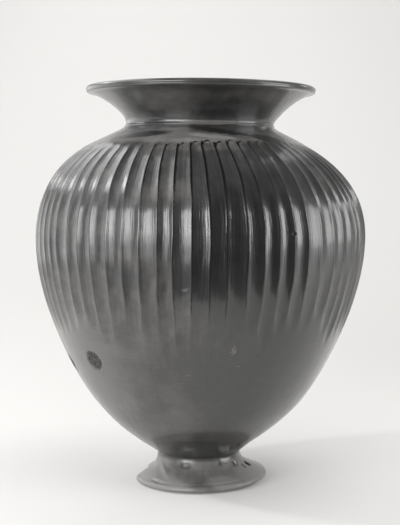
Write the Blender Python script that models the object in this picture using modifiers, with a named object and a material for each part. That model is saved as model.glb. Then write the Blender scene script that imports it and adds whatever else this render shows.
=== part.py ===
"""A pithos: a big fluted storage jar of burnished clay on a small spreading foot.

One fired piece, hollow and open at the mouth. The wall is a turned profile of a few
curves, flutes are pressed into the swell of the body, and the hand-made lean of neck,
shoulder and foot comes last. Metres, +Z up, origin on the floor at the foot's centre,
front towards -Y.
"""

import math

import bmesh
import bpy
import numpy as np
from mathutils import Matrix

NAME = "pithos"

# Heights, each stacked on the one before
FOOT_HEIGHT = 0.053
BOWL_HEIGHT = 0.4145
SHOULDER_HEIGHT = 0.208
NECK_HEIGHT = 0.0055
FLARE_HEIGHT = 0.070

# Diameters
FOOT_DIAMETER = 0.2530
FOOT_BASE_DIAMETER = 0.2220
STEM_DIAMETER = 0.1590
HAUNCH_DIAMETER = 0.4545
BELLY_DIAMETER = 0.6285
NECK_DIAMETER = 0.2825
RIM_DIAMETER = 0.4365

# Walls
WALL = 0.0125
FLOOR = 0.014
FLOOR_DISH = 0.0047
LIP_THICKNESS = 0.0133
LIP_WIDTH = 0.0115
RESTING_RING_WIDTH = 0.014

# The lip's rounding: how far in its top line lies and how far down its outer line
LIP_TOP_SHARE = 1 / 3
LIP_EDGE_SHARE = 0.5

# Foot edge, its nose part of the way up and its lower line drawn in, and the hollow under the foot
FOOT_EDGE_HEIGHT = 0.0048
FOOT_EDGE_THICKNESS = 0.0100
FOOT_EDGE_UNDERCUT = 0.0015
FOOT_EDGE_NOSE_SHARE = 0.4
FOOT_HOLLOW_HEIGHT = 0.043
FOOT_HOLLOW_TOP_DIAMETER = 0.104
FOOT_HOLLOW_SPRING = 0.85

# The thin ridge where the neck meets the shoulder
RIDGE_STAND = 0.0018

# How full the curves are: handle lengths as shares of the rise or run they span,
# and the slopes of the profile where two curves meet
STEM_SLOPE = math.radians(44.0)
HAUNCH_RISE = 0.3485
HAUNCH_SLOPE = math.radians(59.2)
STEM_FULLNESS = 0.158
HAUNCH_FULLNESS_BELOW = 0.72
HAUNCH_FULLNESS_ABOVE = 0.24
BELLY_FULLNESS_BELOW = 0.39
BELLY_FULLNESS_ABOVE = 0.744
SHOULDER_SLOPE = math.radians(41.4)
SHOULDER_FULLNESS = 0.145
NECK_FULLNESS = 0.17
FLARE_SLOPE = math.radians(23.2)
FLARE_FULLNESS = 0.607
FOOT_SLOPE = math.radians(33.0)
FOOT_FULLNESS = 0.50
FOOT_STEM_FULLNESS = 0.64

# Flutes, numbered round from the right side; the phase turns all of them together
FLUTE_COUNT = 64
FLUTE_PHASE = math.radians(2.5)
FLUTE_DEPTH = 0.0042
FLUTE_TOP = 0.640
FLUTE_TOP_FADE = 0.030
FLUTE_END = 0.300
FLUTE_END_FADE = 0.075
FLUTE_END_SPREAD = 0.018
FLUTE_FACETS = 4

# How the lower ends of the flutes wander: waves as (share of the spread, turn by flute, start)
FLUTE_END_WAVES = (
    (0.6, 2.4, 0.0),
    (0.4, 5.1, 1.0),
)

# Rings of the faceted wall
FLUTED_RINGS = 11
BOWL_RINGS = 5
BOWL_RING_CROWDING = 1.6
FLARE_RINGS = 4
FOOT_RINGS = 3
INSIDE_RINGS = 8
CURVE_SAMPLES = 48

# Lean of the hand-made wall: how far its centre lies to the right, by share of height
LEAN = (
    (0.00, 0.0015),
    (0.07, -0.0038),
    (0.10, -0.0070),
    (0.15, -0.0056),
    (0.20, -0.0035),
    (0.33, -0.0026),
    (0.50, -0.0011),
    (0.66, 0.0005),
    (0.72, -0.0005),
    (0.78, -0.0037),
    (0.85, -0.0085),
    (0.90, -0.0020),
    (0.93, 0.0020),
    (0.96, 0.0016),
    (1.00, 0.0006),
)
RIM_TILT = math.radians(-0.40)

# The foot sits a little forward, its edge lower on the left and flattened at the back left
FOOT_FORWARD = 0.013
FOOT_EDGE_TILT = math.radians(2.1)
FOOT_FLAT = 0.019
FOOT_FLAT_AZIMUTH = math.radians(167.0)
FOOT_FLAT_SPREAD = math.radians(27.0)

# Finish
CLAY_COLOUR = (0.075, 0.068, 0.062, 1.0)
CLAY_ROUGHNESS = 0.32
SHARP_ANGLE = math.radians(35.0)

MERGE_DISTANCE = 0.00001
SAME_HEIGHT = 0.000001


# Heights of the profile's turning points
STEM_LEVEL = FOOT_HEIGHT
HAUNCH_LEVEL = STEM_LEVEL + HAUNCH_RISE * BOWL_HEIGHT
BELLY_LEVEL = STEM_LEVEL + BOWL_HEIGHT
RIDGE_LEVEL = BELLY_LEVEL + SHOULDER_HEIGHT
NECK_LEVEL = RIDGE_LEVEL + NECK_HEIGHT
RIM_LEVEL = NECK_LEVEL + FLARE_HEIGHT


def clear_scene():
    """Remove every object, so that the model starts from nothing."""
    for item in list(bpy.data.objects):
        bpy.data.objects.remove(item, do_unlink=True)


def bezier(start, start_handle, end_handle, end, samples=CURVE_SAMPLES):
    """Return points along one cubic curve, both ends included."""
    t = np.linspace(0.0, 1.0, samples + 1)[:, None]
    corners = [np.asarray(point, dtype=float) for point in (start, start_handle, end_handle, end)]
    return (
        (1 - t) ** 3 * corners[0]
        + 3 * t * (1 - t) ** 2 * corners[1]
        + 3 * t**2 * (1 - t) * corners[2]
        + t**3 * corners[3]
    )


def step_from(point, slope, distance):
    """Return the point at a distance from another, at a slope above the horizontal."""
    return (point[0] + distance * math.cos(slope), point[1] + distance * math.sin(slope))


def smooth_step(value):
    """Return 0 below 0, 1 above 1 and an eased value between."""
    value = np.clip(value, 0.0, 1.0)
    return value * value * (3.0 - 2.0 * value)


def body_curve():
    """Return the outer wall from the stem up to the neck ridge, as (radius, height)."""
    stem = (STEM_DIAMETER / 2, STEM_LEVEL)
    haunch = (HAUNCH_DIAMETER / 2, HAUNCH_LEVEL)
    belly = (BELLY_DIAMETER / 2, BELLY_LEVEL)
    ridge = (NECK_DIAMETER / 2 + RIDGE_STAND, RIDGE_LEVEL)
    low_span = math.dist(stem, haunch)
    high_rise = belly[1] - haunch[1]
    bowl = bezier(
        stem,
        step_from(stem, STEM_SLOPE, STEM_FULLNESS * low_span),
        step_from(haunch, HAUNCH_SLOPE, -HAUNCH_FULLNESS_BELOW * (haunch[1] - stem[1])),
        haunch,
    )
    swell = bezier(
        haunch,
        step_from(haunch, HAUNCH_SLOPE, HAUNCH_FULLNESS_ABOVE * high_rise),
        (belly[0], belly[1] - BELLY_FULLNESS_BELOW * high_rise),
        belly,
    )
    shoulder = bezier(
        belly,
        (belly[0], belly[1] + BELLY_FULLNESS_ABOVE * SHOULDER_HEIGHT),
        step_from(ridge, -SHOULDER_SLOPE, SHOULDER_FULLNESS * SHOULDER_HEIGHT),
        ridge,
    )
    return np.concatenate([bowl, swell[1:], shoulder[1:]])


def flare_curve():
    """Return the outer wall from the neck up to the underside of the lip."""
    neck = (NECK_DIAMETER / 2, NECK_LEVEL)
    lip = (RIM_DIAMETER / 2 - LIP_WIDTH, RIM_LEVEL - LIP_THICKNESS)
    return bezier(
        neck,
        (neck[0], neck[1] + NECK_FULLNESS * FLARE_HEIGHT),
        step_from(lip, FLARE_SLOPE, -FLARE_FULLNESS * (lip[0] - neck[0])),
        lip,
    )


def foot_curve():
    """Return the outer foot from the stem down to the top of its edge."""
    stem = (STEM_DIAMETER / 2, STEM_LEVEL)
    edge = (FOOT_DIAMETER / 2 - FOOT_EDGE_THICKNESS / 2, FOOT_EDGE_HEIGHT + FOOT_EDGE_THICKNESS)
    drop = stem[1] - edge[1]
    return bezier(
        stem,
        (stem[0], stem[1] - FOOT_STEM_FULLNESS * drop),
        step_from(edge, -FOOT_SLOPE, -FOOT_FULLNESS * (edge[0] - stem[0])),
        edge,
    )


def radius_at(curve, height):
    """Return the radius of a curve that climbs, at a height or at each of many."""
    return np.interp(height, curve[:, 1], curve[:, 0])


def flute_fade(height, end):
    """Return how much of its full depth a flute has at a height, from 0 to 1."""
    below_top = smooth_step((FLUTE_TOP - height) / FLUTE_TOP_FADE)
    above_end = smooth_step((height - end) / FLUTE_END_FADE)
    return below_top * above_end


def flute_end(number):
    """Return the height at which one flute runs out; hand work, so they differ."""
    waver = sum(share * math.sin(turn * number + start) for share, turn, start in FLUTE_END_WAVES)
    return FLUTE_END + FLUTE_END_SPREAD * waver


def fluted_heights():
    """Return the ring heights of the fluted band, closer together near its two ends."""
    share = np.linspace(0.0, 1.0, FLUTED_RINGS)
    eased = (share + (1.0 - np.cos(math.pi * share)) / 2) / 2
    low = FLUTE_END - FLUTE_END_SPREAD
    return low + (FLUTE_TOP - low) * eased


def outer_profile(body):
    """Return the outside of the jar, from the lip down to the resting ring."""
    fluted = fluted_heights()
    bowl = np.linspace(0.0, 1.0, BOWL_RINGS + 1)[1:] ** BOWL_RING_CROWDING
    below = STEM_LEVEL + (fluted[0] - STEM_LEVEL) * bowl[:-1]
    heights = np.concatenate([below, fluted, [RIDGE_LEVEL]])[::-1]
    walls = [(radius_at(body, height), height) for height in heights]
    flare = flare_curve()[:: -(CURVE_SAMPLES // FLARE_RINGS)]
    foot = foot_curve()[:: CURVE_SAMPLES // FOOT_RINGS]
    lip = [
        (RIM_DIAMETER / 2 - LIP_WIDTH * LIP_TOP_SHARE, RIM_LEVEL),
        (RIM_DIAMETER / 2, RIM_LEVEL - LIP_EDGE_SHARE * LIP_THICKNESS),
    ]
    edge = [
        (FOOT_DIAMETER / 2, FOOT_EDGE_HEIGHT + FOOT_EDGE_NOSE_SHARE * FOOT_EDGE_THICKNESS),
        (FOOT_DIAMETER / 2 - FOOT_EDGE_UNDERCUT, FOOT_EDGE_HEIGHT),
        (FOOT_BASE_DIAMETER / 2, 0.0),
    ]
    return lip + [tuple(point) for point in flare] + walls + [tuple(point) for point in foot] + edge


def inner_wall(body):
    """Return the inside of the wall, offset from the outer curves, as (radius, height)."""
    curve = np.concatenate([body, flare_curve()])
    along = np.gradient(curve, axis=0)
    length = np.hypot(along[:, 0], along[:, 1])
    inward = np.stack([-along[:, 1], along[:, 0]], axis=1) / length[:, None]
    height = curve[:, 1]
    to_lip = smooth_step((height - NECK_LEVEL) / FLARE_HEIGHT)
    thickness = WALL + (LIP_THICKNESS - WALL) * to_lip
    thickness = thickness + FLUTE_DEPTH * flute_fade(height, FLUTE_END - FLUTE_END_SPREAD)
    return curve + inward * thickness[:, None]


def evenly_along(curve, count):
    """Return points at even distances along a curve, both ends included."""
    travelled = np.concatenate([[0.0], np.cumsum(np.hypot(*np.diff(curve, axis=0).T))])
    stops = np.linspace(0.0, travelled[-1], count)
    return np.stack([np.interp(stops, travelled, curve[:, i]) for i in (0, 1)], axis=1)


def inner_profile(body):
    """Return the inside of the jar, from the middle of the floor up to the lip."""
    floor_level = FOOT_HOLLOW_HEIGHT + FLOOR
    wall = inner_wall(body)
    swell = wall[: len(body)]
    swell = swell[swell[:, 1] > floor_level + FLOOR_DISH]
    flare = wall[len(body) :: CURVE_SAMPLES // FLARE_RINGS]
    rings = np.concatenate([evenly_along(swell, INSIDE_RINGS), flare])
    return [(0.0, floor_level)] + [tuple(point) for point in rings]


def foot_hollow():
    """Return the underside, from the resting ring's inner edge up to the middle."""
    return [
        (FOOT_BASE_DIAMETER / 2 - RESTING_RING_WIDTH, 0.0),
        (FOOT_HOLLOW_TOP_DIAMETER / 2, FOOT_HOLLOW_SPRING * FOOT_HOLLOW_HEIGHT),
        (0.0, FOOT_HOLLOW_HEIGHT),
    ]


def turn(profile):
    """Turn a profile about the upright axis and return the closed mesh."""
    mesh = bpy.data.meshes.new("profile")
    vertices = [(radius, 0.0, height) for radius, height in profile]
    edges = [(i, i + 1) for i in range(len(vertices) - 1)]
    mesh.from_pydata(vertices, edges, [])
    guide = bpy.data.objects.new("profile", mesh)
    bpy.context.scene.collection.objects.link(guide)
    screw = guide.modifiers.new("turn", "SCREW")
    screw.axis = "Z"
    screw.angle = 2 * math.pi
    screw.steps = FLUTE_COUNT
    screw.render_steps = FLUTE_COUNT
    screw.use_merge_vertices = True
    screw.merge_threshold = MERGE_DISTANCE
    screw.use_smooth_shade = True
    graph = bpy.context.evaluated_depsgraph_get()
    turned = bpy.data.meshes.new_from_object(guide.evaluated_get(graph))
    bpy.data.objects.remove(guide, do_unlink=True)
    bpy.data.meshes.remove(mesh)
    return turned


def press_flutes(work, body):
    """Split the fluted rings finely and press each flute in between its two edges."""
    low, high = fluted_heights()[[0, -1]]

    def is_fluted(vertex):
        height = vertex.co.z
        radius = math.hypot(vertex.co.x, vertex.co.y)
        in_band = low - SAME_HEIGHT <= height <= high + SAME_HEIGHT
        return in_band and radius > radius_at(body, height) - WALL / 2

    rings = [
        edge
        for edge in work.edges
        if all(is_fluted(vertex) for vertex in edge.verts)
        and abs(edge.verts[0].co.z - edge.verts[1].co.z) < SAME_HEIGHT
    ]
    bmesh.ops.subdivide_edges(work, edges=rings, cuts=FLUTE_FACETS - 1, use_grid_fill=True)
    for vertex in work.verts:
        if not is_fluted(vertex):
            continue
        turns = math.atan2(vertex.co.y, vertex.co.x) / (2 * math.pi) * FLUTE_COUNT
        across = turns - math.floor(turns)
        number = math.floor(turns) % FLUTE_COUNT
        radius = float(radius_at(body, vertex.co.z))
        width_share = radius / (BELLY_DIAMETER / 2)
        fade = flute_fade(vertex.co.z, flute_end(number))
        depth = FLUTE_DEPTH * width_share * fade * 4 * across * (1 - across)
        scale = (radius - depth) / math.hypot(vertex.co.x, vertex.co.y)
        vertex.co.x *= scale
        vertex.co.y *= scale


def hand_lean(work):
    """Turn the flutes to their place and lean the wall as the potter left it."""
    shares, shifts = np.array(LEAN).T
    turned = Matrix.Rotation(FLUTE_PHASE, 3, "Z")
    for vertex in work.verts:
        x, y, height = turned @ vertex.co
        foot_share = 1.0 - smooth_step(height / STEM_LEVEL)
        edge_share = smooth_step(height / FOOT_EDGE_HEIGHT) * foot_share
        neck_share = smooth_step((height - FLUTE_TOP) / (NECK_LEVEL - FLUTE_TOP))
        from_flat = abs(math.remainder(math.atan2(y, x) - FOOT_FLAT_AZIMUTH, 2 * math.pi))
        flat_share = edge_share * smooth_step(1.0 - from_flat / FOOT_FLAT_SPREAD)
        inward = 1.0 - flat_share * FOOT_FLAT / (FOOT_DIAMETER / 2)
        x, y = x * inward, y * inward
        tilt = FOOT_EDGE_TILT * edge_share + RIM_TILT * neck_share
        vertex.co.z = height + x * math.tan(tilt)
        vertex.co.x = x + float(np.interp(height / RIM_LEVEL, shares, shifts))
        vertex.co.y = y - FOOT_FORWARD * foot_share


def clay_material():
    """Return the dark burnished clay of the whole jar."""
    material = bpy.data.materials.new("burnished_clay")
    material.use_nodes = True
    shader = material.node_tree.nodes["Principled BSDF"]
    shader.inputs["Base Color"].default_value = CLAY_COLOUR
    shader.inputs["Roughness"].default_value = CLAY_ROUGHNESS
    shader.inputs["Metallic"].default_value = 0.0
    return material


def build_pithos(collection):
    """Turn, flute and lean the jar, and place it in its collection."""
    body = body_curve()
    profile = inner_profile(body) + outer_profile(body) + foot_hollow()
    mesh = turn(profile)
    mesh.name = NAME
    work = bmesh.new()
    work.from_mesh(mesh)
    press_flutes(work, body)
    hand_lean(work)
    work.to_mesh(mesh)
    work.free()
    mesh.shade_smooth()
    mesh.set_sharp_from_angle(angle=SHARP_ANGLE)
    mesh.materials.append(clay_material())
    jar = bpy.data.objects.new(NAME, mesh)
    collection.objects.link(jar)
    return jar


def main():
    """Build the pithos in a collection of its own."""
    clear_scene()
    collection = bpy.data.collections.new(NAME)
    bpy.context.scene.collection.children.link(collection)
    build_pithos(collection)


if __name__ == "__main__":
    main()
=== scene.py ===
"""The looks of the pithos: a fluted storage jar of black burnished clay in a plain studio.

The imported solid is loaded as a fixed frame. The jar is modelled again around it at full
detail, as one piece that replaces the solid's node, and a pale floor, soft lamps and a
camera show it. Lengths are metres unless a name says otherwise. The front is towards -Y.
Azimuths on the jar are degrees from the front, positive towards the right of the picture.
"""

from __future__ import annotations

import logging
import math
import random
from dataclasses import dataclass, field
from enum import Enum

import bmesh
import bpy
import numpy as np
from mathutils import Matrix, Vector, noise

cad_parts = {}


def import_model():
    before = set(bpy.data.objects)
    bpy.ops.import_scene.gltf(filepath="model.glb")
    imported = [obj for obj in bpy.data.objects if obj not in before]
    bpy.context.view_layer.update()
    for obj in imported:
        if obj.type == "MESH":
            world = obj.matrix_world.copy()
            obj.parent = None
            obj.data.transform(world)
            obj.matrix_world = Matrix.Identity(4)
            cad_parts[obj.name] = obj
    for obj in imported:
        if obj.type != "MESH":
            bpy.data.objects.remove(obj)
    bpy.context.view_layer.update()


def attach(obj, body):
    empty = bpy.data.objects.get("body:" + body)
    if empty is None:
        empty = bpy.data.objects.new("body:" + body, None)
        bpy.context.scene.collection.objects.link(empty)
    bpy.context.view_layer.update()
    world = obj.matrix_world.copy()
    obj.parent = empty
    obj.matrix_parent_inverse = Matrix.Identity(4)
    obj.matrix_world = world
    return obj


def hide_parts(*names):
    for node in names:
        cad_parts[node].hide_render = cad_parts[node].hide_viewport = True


LOG = logging.getLogger("pithos")

NODE = "pithos"
BODY = "root"

# The picture's long side in pixels
PICTURE_LONG_SIDE = 525

# Points of the outline closer than this are one
MERGE_DISTANCE = 1e-7

# Node types that many steps use
MATH = "ShaderNodeMath"
RANGE = "ShaderNodeMapRange"
MIX = "ShaderNodeMix"

WHITE = (1.0, 1.0, 1.0, 1.0)

Point = tuple[float, float]


def linear(hex_code: str) -> tuple[float, float, float, float]:
    """Turn an sRGB hex colour into a linear one.

    Args:
        hex_code: the colour as "#rrggbb".

    Returns:
        Linear red, green and blue, and an alpha of one.
    """
    shares = [int(hex_code[start : start + 2], 16) / 255 for start in (1, 3, 5)]
    red, green, blue = [
        share / 12.92 if share <= 0.04045 else ((share + 0.055) / 1.055) ** 2.4 for share in shares
    ]
    return red, green, blue, 1.0


def smooth_step(value: np.ndarray) -> np.ndarray:
    """Ease values from 0 at and below 0 to 1 at and above 1."""
    value = np.clip(value, 0.0, 1.0)
    return value * value * (3.0 - 2.0 * value)


def bell(value: np.ndarray, middle: float, width: float) -> np.ndarray:
    """Return 1 at a middle value, falling away on both sides over a width."""
    return np.exp(-(((value - middle) / width) ** 2))


def half_turn(degrees: np.ndarray) -> np.ndarray:
    """Bring differences of azimuth to between -180 and 180 degrees."""
    return (degrees + 180.0) % 360.0 - 180.0


def noise_at(points: np.ndarray, scale: float = 1.0) -> np.ndarray:
    """Return smooth noise, between -1 and 1, at points that are scaled first."""
    return np.array([noise.noise(Vector(point) * scale) for point in points])


def step_lengths(line: np.ndarray) -> np.ndarray:
    """Return the length of each step along a line."""
    return np.hypot(*np.diff(line, axis=0).T)


def left_of(direction: np.ndarray) -> np.ndarray:
    """Return the unit vectors that point to the left of some directions."""
    length = np.hypot(direction[:, 0], direction[:, 1])
    return np.stack([-direction[:, 1], direction[:, 0]], axis=1) / length[:, None]


def step_from(point: Point, slope_deg: float, distance: float) -> Point:
    """Return the point at a distance from another, at a slope above the horizontal."""
    slope = math.radians(slope_deg)
    return point[0] + distance * math.cos(slope), point[1] + distance * math.sin(slope)


def bezier(
    start: Point, start_handle: Point, end_handle: Point, end: Point, samples: int = 96
) -> np.ndarray:
    """Sample one cubic curve, both ends included.

    Args:
        start: the first point, as (radius, height).
        start_handle: the handle that leaves it.
        end_handle: the handle that enters the last point.
        end: the last point.
        samples: the number of steps.

    Returns:
        Rows of (radius, height).
    """
    t = np.linspace(0.0, 1.0, samples + 1)[:, None]
    corners = [np.asarray(point, dtype=float) for point in (start, start_handle, end_handle, end)]
    return (
        (1 - t) ** 3 * corners[0]
        + 3 * t * (1 - t) ** 2 * corners[1]
        + 3 * t**2 * (1 - t) * corners[2]
        + t**3 * corners[3]
    )


def roll(centre: Point, radius: float | np.ndarray, degrees: np.ndarray) -> np.ndarray:
    """Return points round a centre.

    Args:
        centre: the centre, as (radius, height).
        radius: how far the points lie from it.
        degrees: their angles, anticlockwise from outwards.

    Returns:
        Rows of (radius, height).
    """
    angles = np.radians(degrees)
    across = centre[0] + radius * np.cos(angles)
    return np.stack([across, centre[1] + radius * np.sin(angles)], axis=1)


def add_object(name: str, data: bpy.types.ID) -> bpy.types.Object:
    """Put a new object into the scene.

    Args:
        name: its name.
        data: its mesh, lamp or camera.

    Returns:
        The object, at the origin.
    """
    added = bpy.data.objects.new(name, data)
    bpy.context.scene.collection.objects.link(added)
    return added


def carry(
    mesh: bpy.types.Mesh, name: str, values: np.ndarray, kind: str = "FLOAT", domain: str = "POINT"
) -> None:
    """Store a number or a vector for each point or face of a mesh.

    Args:
        mesh: the mesh.
        name: what the values are called.
        values: the values, in order.
        kind: "FLOAT" or "FLOAT_VECTOR".
        domain: "POINT" or "FACE".
    """
    attribute = mesh.attributes.new(name, kind, domain)
    slot = "vector" if kind == "FLOAT_VECTOR" else "value"
    attribute.data.foreach_set(slot, values.astype(np.float32).ravel())


def add_node(
    tree: bpy.types.NodeTree, kind: str, inputs: dict | tuple = (), **settings: object
) -> bpy.types.Node:
    """Add a node, set its options, and fill its inputs.

    Args:
        tree: the node tree.
        kind: the node's type.
        inputs: a value, another node's output, or a node that gives its first output, for each
            input. A dict names the inputs or numbers them, and a tuple fills the first ones.
        **settings: the node's options.

    Returns:
        The new node.
    """
    node = tree.nodes.new(kind)
    for option, value in settings.items():
        setattr(node, option, value)
    for key, value in (inputs if isinstance(inputs, dict) else dict(enumerate(inputs))).items():
        if isinstance(value, bpy.types.Node):
            value = value.outputs[0]
        if isinstance(value, bpy.types.NodeSocket):
            tree.links.new(value, node.inputs[key])
        else:
            node.inputs[key].default_value = value
    return node


@dataclass(frozen=True)
class JarSizes:
    """The driving sizes of the turned wall, close to the ones that the solid was made from.

    Slopes are degrees above the horizontal. A fullness is the length of a curve's handle, as a
    share of the rise or run that the curve spans.
    """

    # Heights, each stacked on the one before
    foot_height: float = 0.053
    bowl_height: float = 0.4145
    shoulder_height: float = 0.208
    neck_height: float = 0.0055
    flare_height: float = 0.070

    # Diameters
    foot_diameter: float = 0.2530
    foot_base_diameter: float = 0.2220
    stem_diameter: float = 0.1600
    haunch_diameter: float = 0.4545
    belly_diameter: float = 0.6285
    neck_diameter: float = 0.2825
    rim_diameter: float = 0.4365

    # Walls, lip, foot and the thin ridge under the neck
    wall: float = 0.0125
    floor: float = 0.014
    lip_thickness: float = 0.0133
    lip_width: float = 0.0115
    resting_ring_width: float = 0.014
    foot_edge_height: float = 0.0030
    foot_edge_thickness: float = 0.0120
    foot_hollow_height: float = 0.043
    foot_hollow_top_diameter: float = 0.104
    ridge_stand: float = 0.0018

    # Shares: how high up the bowl the haunch lies, and how high the foot's hollow springs
    haunch_rise: float = 0.3485
    foot_hollow_spring: float = 0.85

    # How the curves between them run
    stem_slope: float = 44.0
    stem_fullness: float = 0.158
    haunch_slope: float = 59.2
    haunch_fullness_below: float = 0.72
    haunch_fullness_above: float = 0.24
    belly_fullness_below: float = 0.39
    belly_fullness_above: float = 0.744
    shoulder_slope: float = 41.4
    shoulder_fullness: float = 0.145
    neck_fullness: float = 0.17
    flare_slope: float = 23.2
    flare_fullness: float = 0.607
    foot_slope: float = 33.0
    foot_fullness: float = 0.50
    foot_stem_fullness: float = 0.64

    @property
    def stem_level(self) -> float:
        """The height of the narrowest place, where foot and bowl meet."""
        return self.foot_height

    @property
    def haunch_level(self) -> float:
        """The height where the bowl's lower curve hands over to the upper one."""
        return self.stem_level + self.haunch_rise * self.bowl_height

    @property
    def belly_level(self) -> float:
        """The height of the widest place."""
        return self.stem_level + self.bowl_height

    @property
    def ridge_level(self) -> float:
        """The height of the thin ridge under the neck."""
        return self.belly_level + self.shoulder_height

    @property
    def neck_level(self) -> float:
        """The height of the neck's narrowest ring."""
        return self.ridge_level + self.neck_height

    @property
    def rim_level(self) -> float:
        """The height of the lip."""
        return self.neck_level + self.flare_height

    @property
    def floor_level(self) -> float:
        """The height of the inner floor's middle."""
        return self.foot_hollow_height + self.floor


@dataclass(frozen=True)
class Stretch:
    """One stretch of the turned outline.

    Attributes:
        line: close points along it, as rows of (radius, height).
        rings: the number of ring steps that it is cut into.
        columns: the number of points round each of its rings.
    """

    line: np.ndarray
    rings: int
    columns: int


@dataclass
class Outline:
    """The turned outline of the whole jar, from the inner floor over the lip to the underside.

    Attributes:
        sizes: the driving sizes.
        flute_low: the height of the lowest ring that the flutes reach.
        flute_high: the height of the highest one.
        tops_low: the height above which the rings lie closer, for the tops of the flutes.
        crease: how deep the crease in the lip's roll is.
        crease_deg: where on the roll it lies, anticlockwise from outwards.
        crease_spread_deg: how far it spreads to each side.
        lip_dip: how far the lip's inner edge lies below its top.
        lip_gap: how far below the lip's top the inner wall ends.
        stouter: how much thicker the wall is at the belly than at the bowl.
        stouter_from: the height where it starts to grow thicker.
        stouter_over: the height over which it does.
        floor_corner: how high the inner wall starts above the middle of its floor.
        floor_bend: the length of the bend that joins the two.
        floor_flat: the share of the inner floor that is flat.
        floor_slope: the slope of the bend's upper end, in degrees.
    """

    sizes: JarSizes
    flute_low: float = 0.244
    flute_high: float = 0.654
    tops_low: float = 0.604
    crease: float = 0.0009
    crease_deg: float = -12.0
    crease_spread_deg: float = 9.0
    lip_dip: float = 0.0006
    lip_gap: float = 0.0012
    stouter: float = 0.004
    stouter_from: float = 0.28
    stouter_over: float = 0.08
    floor_corner: float = 0.014
    floor_bend: float = 0.012
    floor_flat: float = 0.55
    floor_slope: float = 50.0

    def body(self) -> np.ndarray:
        """Draw the outer wall from the stem up to the neck's ridge.

        Returns:
            Rows of (radius, height).
        """
        s = self.sizes
        stem = (s.stem_diameter / 2, s.stem_level)
        haunch = (s.haunch_diameter / 2, s.haunch_level)
        belly = (s.belly_diameter / 2, s.belly_level)
        ridge = (s.neck_diameter / 2 + s.ridge_stand, s.ridge_level)
        low_rise, high_rise = haunch[1] - stem[1], belly[1] - haunch[1]
        bowl = bezier(
            stem,
            step_from(stem, s.stem_slope, s.stem_fullness * math.dist(stem, haunch)),
            step_from(haunch, s.haunch_slope, -s.haunch_fullness_below * low_rise),
            haunch,
        )
        swell = bezier(
            haunch,
            step_from(haunch, s.haunch_slope, s.haunch_fullness_above * high_rise),
            (belly[0], belly[1] - s.belly_fullness_below * high_rise),
            belly,
        )
        shoulder = bezier(
            belly,
            (belly[0], belly[1] + s.belly_fullness_above * s.shoulder_height),
            step_from(ridge, -s.shoulder_slope, s.shoulder_fullness * s.shoulder_height),
            ridge,
        )
        return np.concatenate([bowl, swell[1:], shoulder[1:]])

    def flare(self) -> np.ndarray:
        """Draw the outer wall from the neck up to the underside of the lip.

        Returns:
            Rows of (radius, height).
        """
        s = self.sizes
        neck = (s.neck_diameter / 2, s.neck_level)
        lip = (s.rim_diameter / 2 - s.lip_width, s.rim_level - s.lip_thickness)
        return bezier(
            neck,
            (neck[0], neck[1] + s.neck_fullness * s.flare_height),
            step_from(lip, s.flare_slope, -s.flare_fullness * (lip[0] - neck[0])),
            lip,
        )

    def lip(self) -> np.ndarray:
        """Draw the rounded lip, from its inner edge over the top and down to the flare.

        Returns:
            Rows of (radius, height), with a shallow crease below the middle of the roll.
        """
        s = self.sizes
        outer, half = s.rim_diameter / 2, s.lip_thickness / 2
        degrees = np.linspace(88.0, -62.0, 61)
        radius = half - self.crease * bell(degrees, self.crease_deg, self.crease_spread_deg)
        rounded = roll((outer - half, s.rim_level - half), radius, degrees)
        inner_edge = [(outer - s.lip_width, s.rim_level - self.lip_dip)]
        under = [(outer - s.lip_width, s.rim_level - s.lip_thickness)]
        return np.concatenate([inner_edge, rounded, under])

    def ridge(self) -> np.ndarray:
        """Draw the thin ridge between the neck and the shoulder, going down.

        Returns:
            Rows of (radius, height).
        """
        s = self.sizes
        neck = s.neck_diameter / 2
        crest = neck + s.ridge_stand
        return np.array(
            [
                (neck, s.neck_level),
                (neck + 0.0002, s.neck_level - 0.0016),
                (crest + 0.0002, s.neck_level - 0.0030),
                (crest + 0.0006, s.neck_level - 0.0041),
                (crest + 0.0001, s.neck_level - 0.0049),
                (crest, s.ridge_level),
            ]
        )

    def foot(self) -> np.ndarray:
        """Draw the outer foot from the stem down to the top of its edge.

        Returns:
            Rows of (radius, height).
        """
        s = self.sizes
        stem = (s.stem_diameter / 2, s.stem_level)
        edge_radius = s.foot_diameter / 2 - s.foot_edge_thickness / 2
        edge = (edge_radius, s.foot_edge_height + s.foot_edge_thickness)
        return bezier(
            stem,
            (stem[0], stem[1] - s.foot_stem_fullness * (stem[1] - edge[1])),
            step_from(edge, -s.foot_slope, -s.foot_fullness * (edge[0] - stem[0])),
            edge,
        )

    def foot_edge(self) -> np.ndarray:
        """Draw the foot's rounded edge, down to the outside of the resting ring.

        Returns:
            Rows of (radius, height).
        """
        s = self.sizes
        half = s.foot_edge_thickness / 2
        middle = (s.foot_diameter / 2 - half, s.foot_edge_height + half)
        nose = roll(middle, half, np.linspace(90.0, -35.0, 25))
        return np.concatenate([nose, [(s.foot_base_diameter / 2, 0.0)]])

    def underside(self) -> np.ndarray:
        """Draw the hollow under the foot, from the resting ring's inside to the middle.

        Returns:
            Rows of (radius, height).
        """
        s = self.sizes
        ring = s.foot_base_diameter / 2 - s.resting_ring_width
        top = s.foot_hollow_top_diameter / 2
        spring = s.foot_hollow_spring * s.foot_hollow_height
        return bezier(
            (ring, 0.0),
            (ring - 0.3 * (ring - top), 0.45 * spring),
            (0.9 * top, s.foot_hollow_height),
            (0.0, s.foot_hollow_height),
        )

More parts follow.
